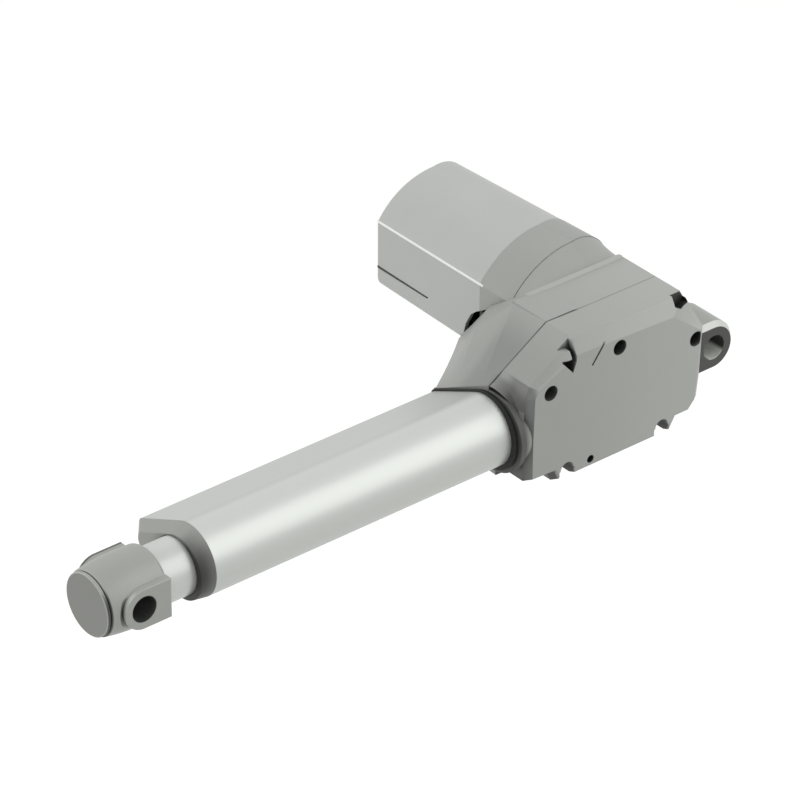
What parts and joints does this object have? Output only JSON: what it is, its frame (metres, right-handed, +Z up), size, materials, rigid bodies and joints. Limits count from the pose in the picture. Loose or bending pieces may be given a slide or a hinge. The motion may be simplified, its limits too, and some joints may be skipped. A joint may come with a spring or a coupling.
{
  "type": "electric linear actuator",
  "caption": "Electric linear actuator: angled gearbox with a motor case to one side, teardrop-section outer tube, sliding rod, and an eye at each end.",
  "frame": {"origin": "centre of the rear eye, on the spindle line", "axes": "+X the way the rod extends, +Y towards the flat gear cover, +Z up, with the motor towards -Y"},
  "size_m": [0.2943, 0.134, 0.0602],
  "materials": {
    "housing_plastic": "fine moulded texture, light grey",
    "case_plastic": "fine moulded texture, light grey",
    "cap_plastic": "smooth, grey",
    "black_plastic": "matte black",
    "tube_aluminium": "anodised, satin",
    "rod_aluminium": "anodised, satin",
    "black_rubber": "matte black",
    "lug_metal": "cast and painted grey",
    "end_metal": "fine cast grey",
    "steel": "machined",
    "can_steel": "zinc plated",
    "bronze": "sintered",
    "ferrite": "sintered dark grey",
    "wheel_nylon": "moulded natural",
    "nut_nylon": "moulded white",
    "laminations": "stacked sheets",
    "copper": "enamelled wire",
    "board": "green board"
  },
  "bodies": {
    "base": {"gear_housing": "housing_plastic", "gear_cover": "housing_plastic", "motor_flange": "housing_plastic", "motor_housing": "case_plastic", "cable_socket": "black_plastic", "outer_tube": "tube_aluminium", "tube_gasket": "black_rubber", "tube_end_cap": "cap_plastic", "rod_wiper": "black_rubber", "rear_lug": "lug_metal", "thrust_plate": "steel", "bearing_outer_ring": "steel", "bearing_balls": "steel", "spindle_bush": "bronze", "motor_can": "can_steel", "magnet_upper": "ferrite", "magnet_lower": "ferrite", "brush_holder": "black_plastic", "motor_end_bell": "can_steel", "motor_bearing_rear": "bronze", "worm_bearing_motor_side": "steel", "worm_bearing_cover_side": "steel", "rubber_damper": "black_rubber", "limit_switch_board": "board", "limit_switch_in": "black_plastic", "limit_switch_out": "black_plastic", "cover_screw_front": "steel", "cover_screw_top": "steel", "cover_screw_rear": "steel", "cover_screw_lower_front": "steel", "cover_screw_lower_rear": "steel"},
    "spindle": {"spindle": "steel", "worm_wheel": "wheel_nylon", "wheel_key": "steel", "wheel_spacer": "steel", "bearing_inner_ring": "steel", "spindle_washer": "nut_nylon"},
    "armature": {"worm_shaft": "steel", "armature_core": "laminations", "armature_windings": "copper", "commutator": "copper"},
    "rod": {"rod": "rod_aluminium", "rod_end": "end_metal", "rod_pin": "steel", "drive_nut": "nut_nylon", "nut_pin": "steel", "striker": "black_plastic"}
  },
  "joints": [
    {"name": "rod_slide", "type": "slide", "parent": "base", "child": "rod", "axis": [1, 0, 0], "range_m": [0, 0.1]},
    {"name": "spindle_spin", "type": "hinge", "parent": "base", "child": "spindle", "pos_m": [0.0395, 0, 0], "axis": [-1, 0, 0], "range_deg": [0, 9001]},
    {"name": "motor_spin", "type": "hinge", "parent": "base", "child": "armature", "pos_m": [0.0395, -0.05, 0.0155], "axis": [0, -1, 0], "range_deg": [0, 198020]}
  ],
  "couplings": [
    {"joint": "spindle_spin", "follows": "rod_slide", "rad_per_m": 1570.8},
    {"joint": "motor_spin", "follows": "rod_slide", "rad_per_m": 34558}
  ]
}
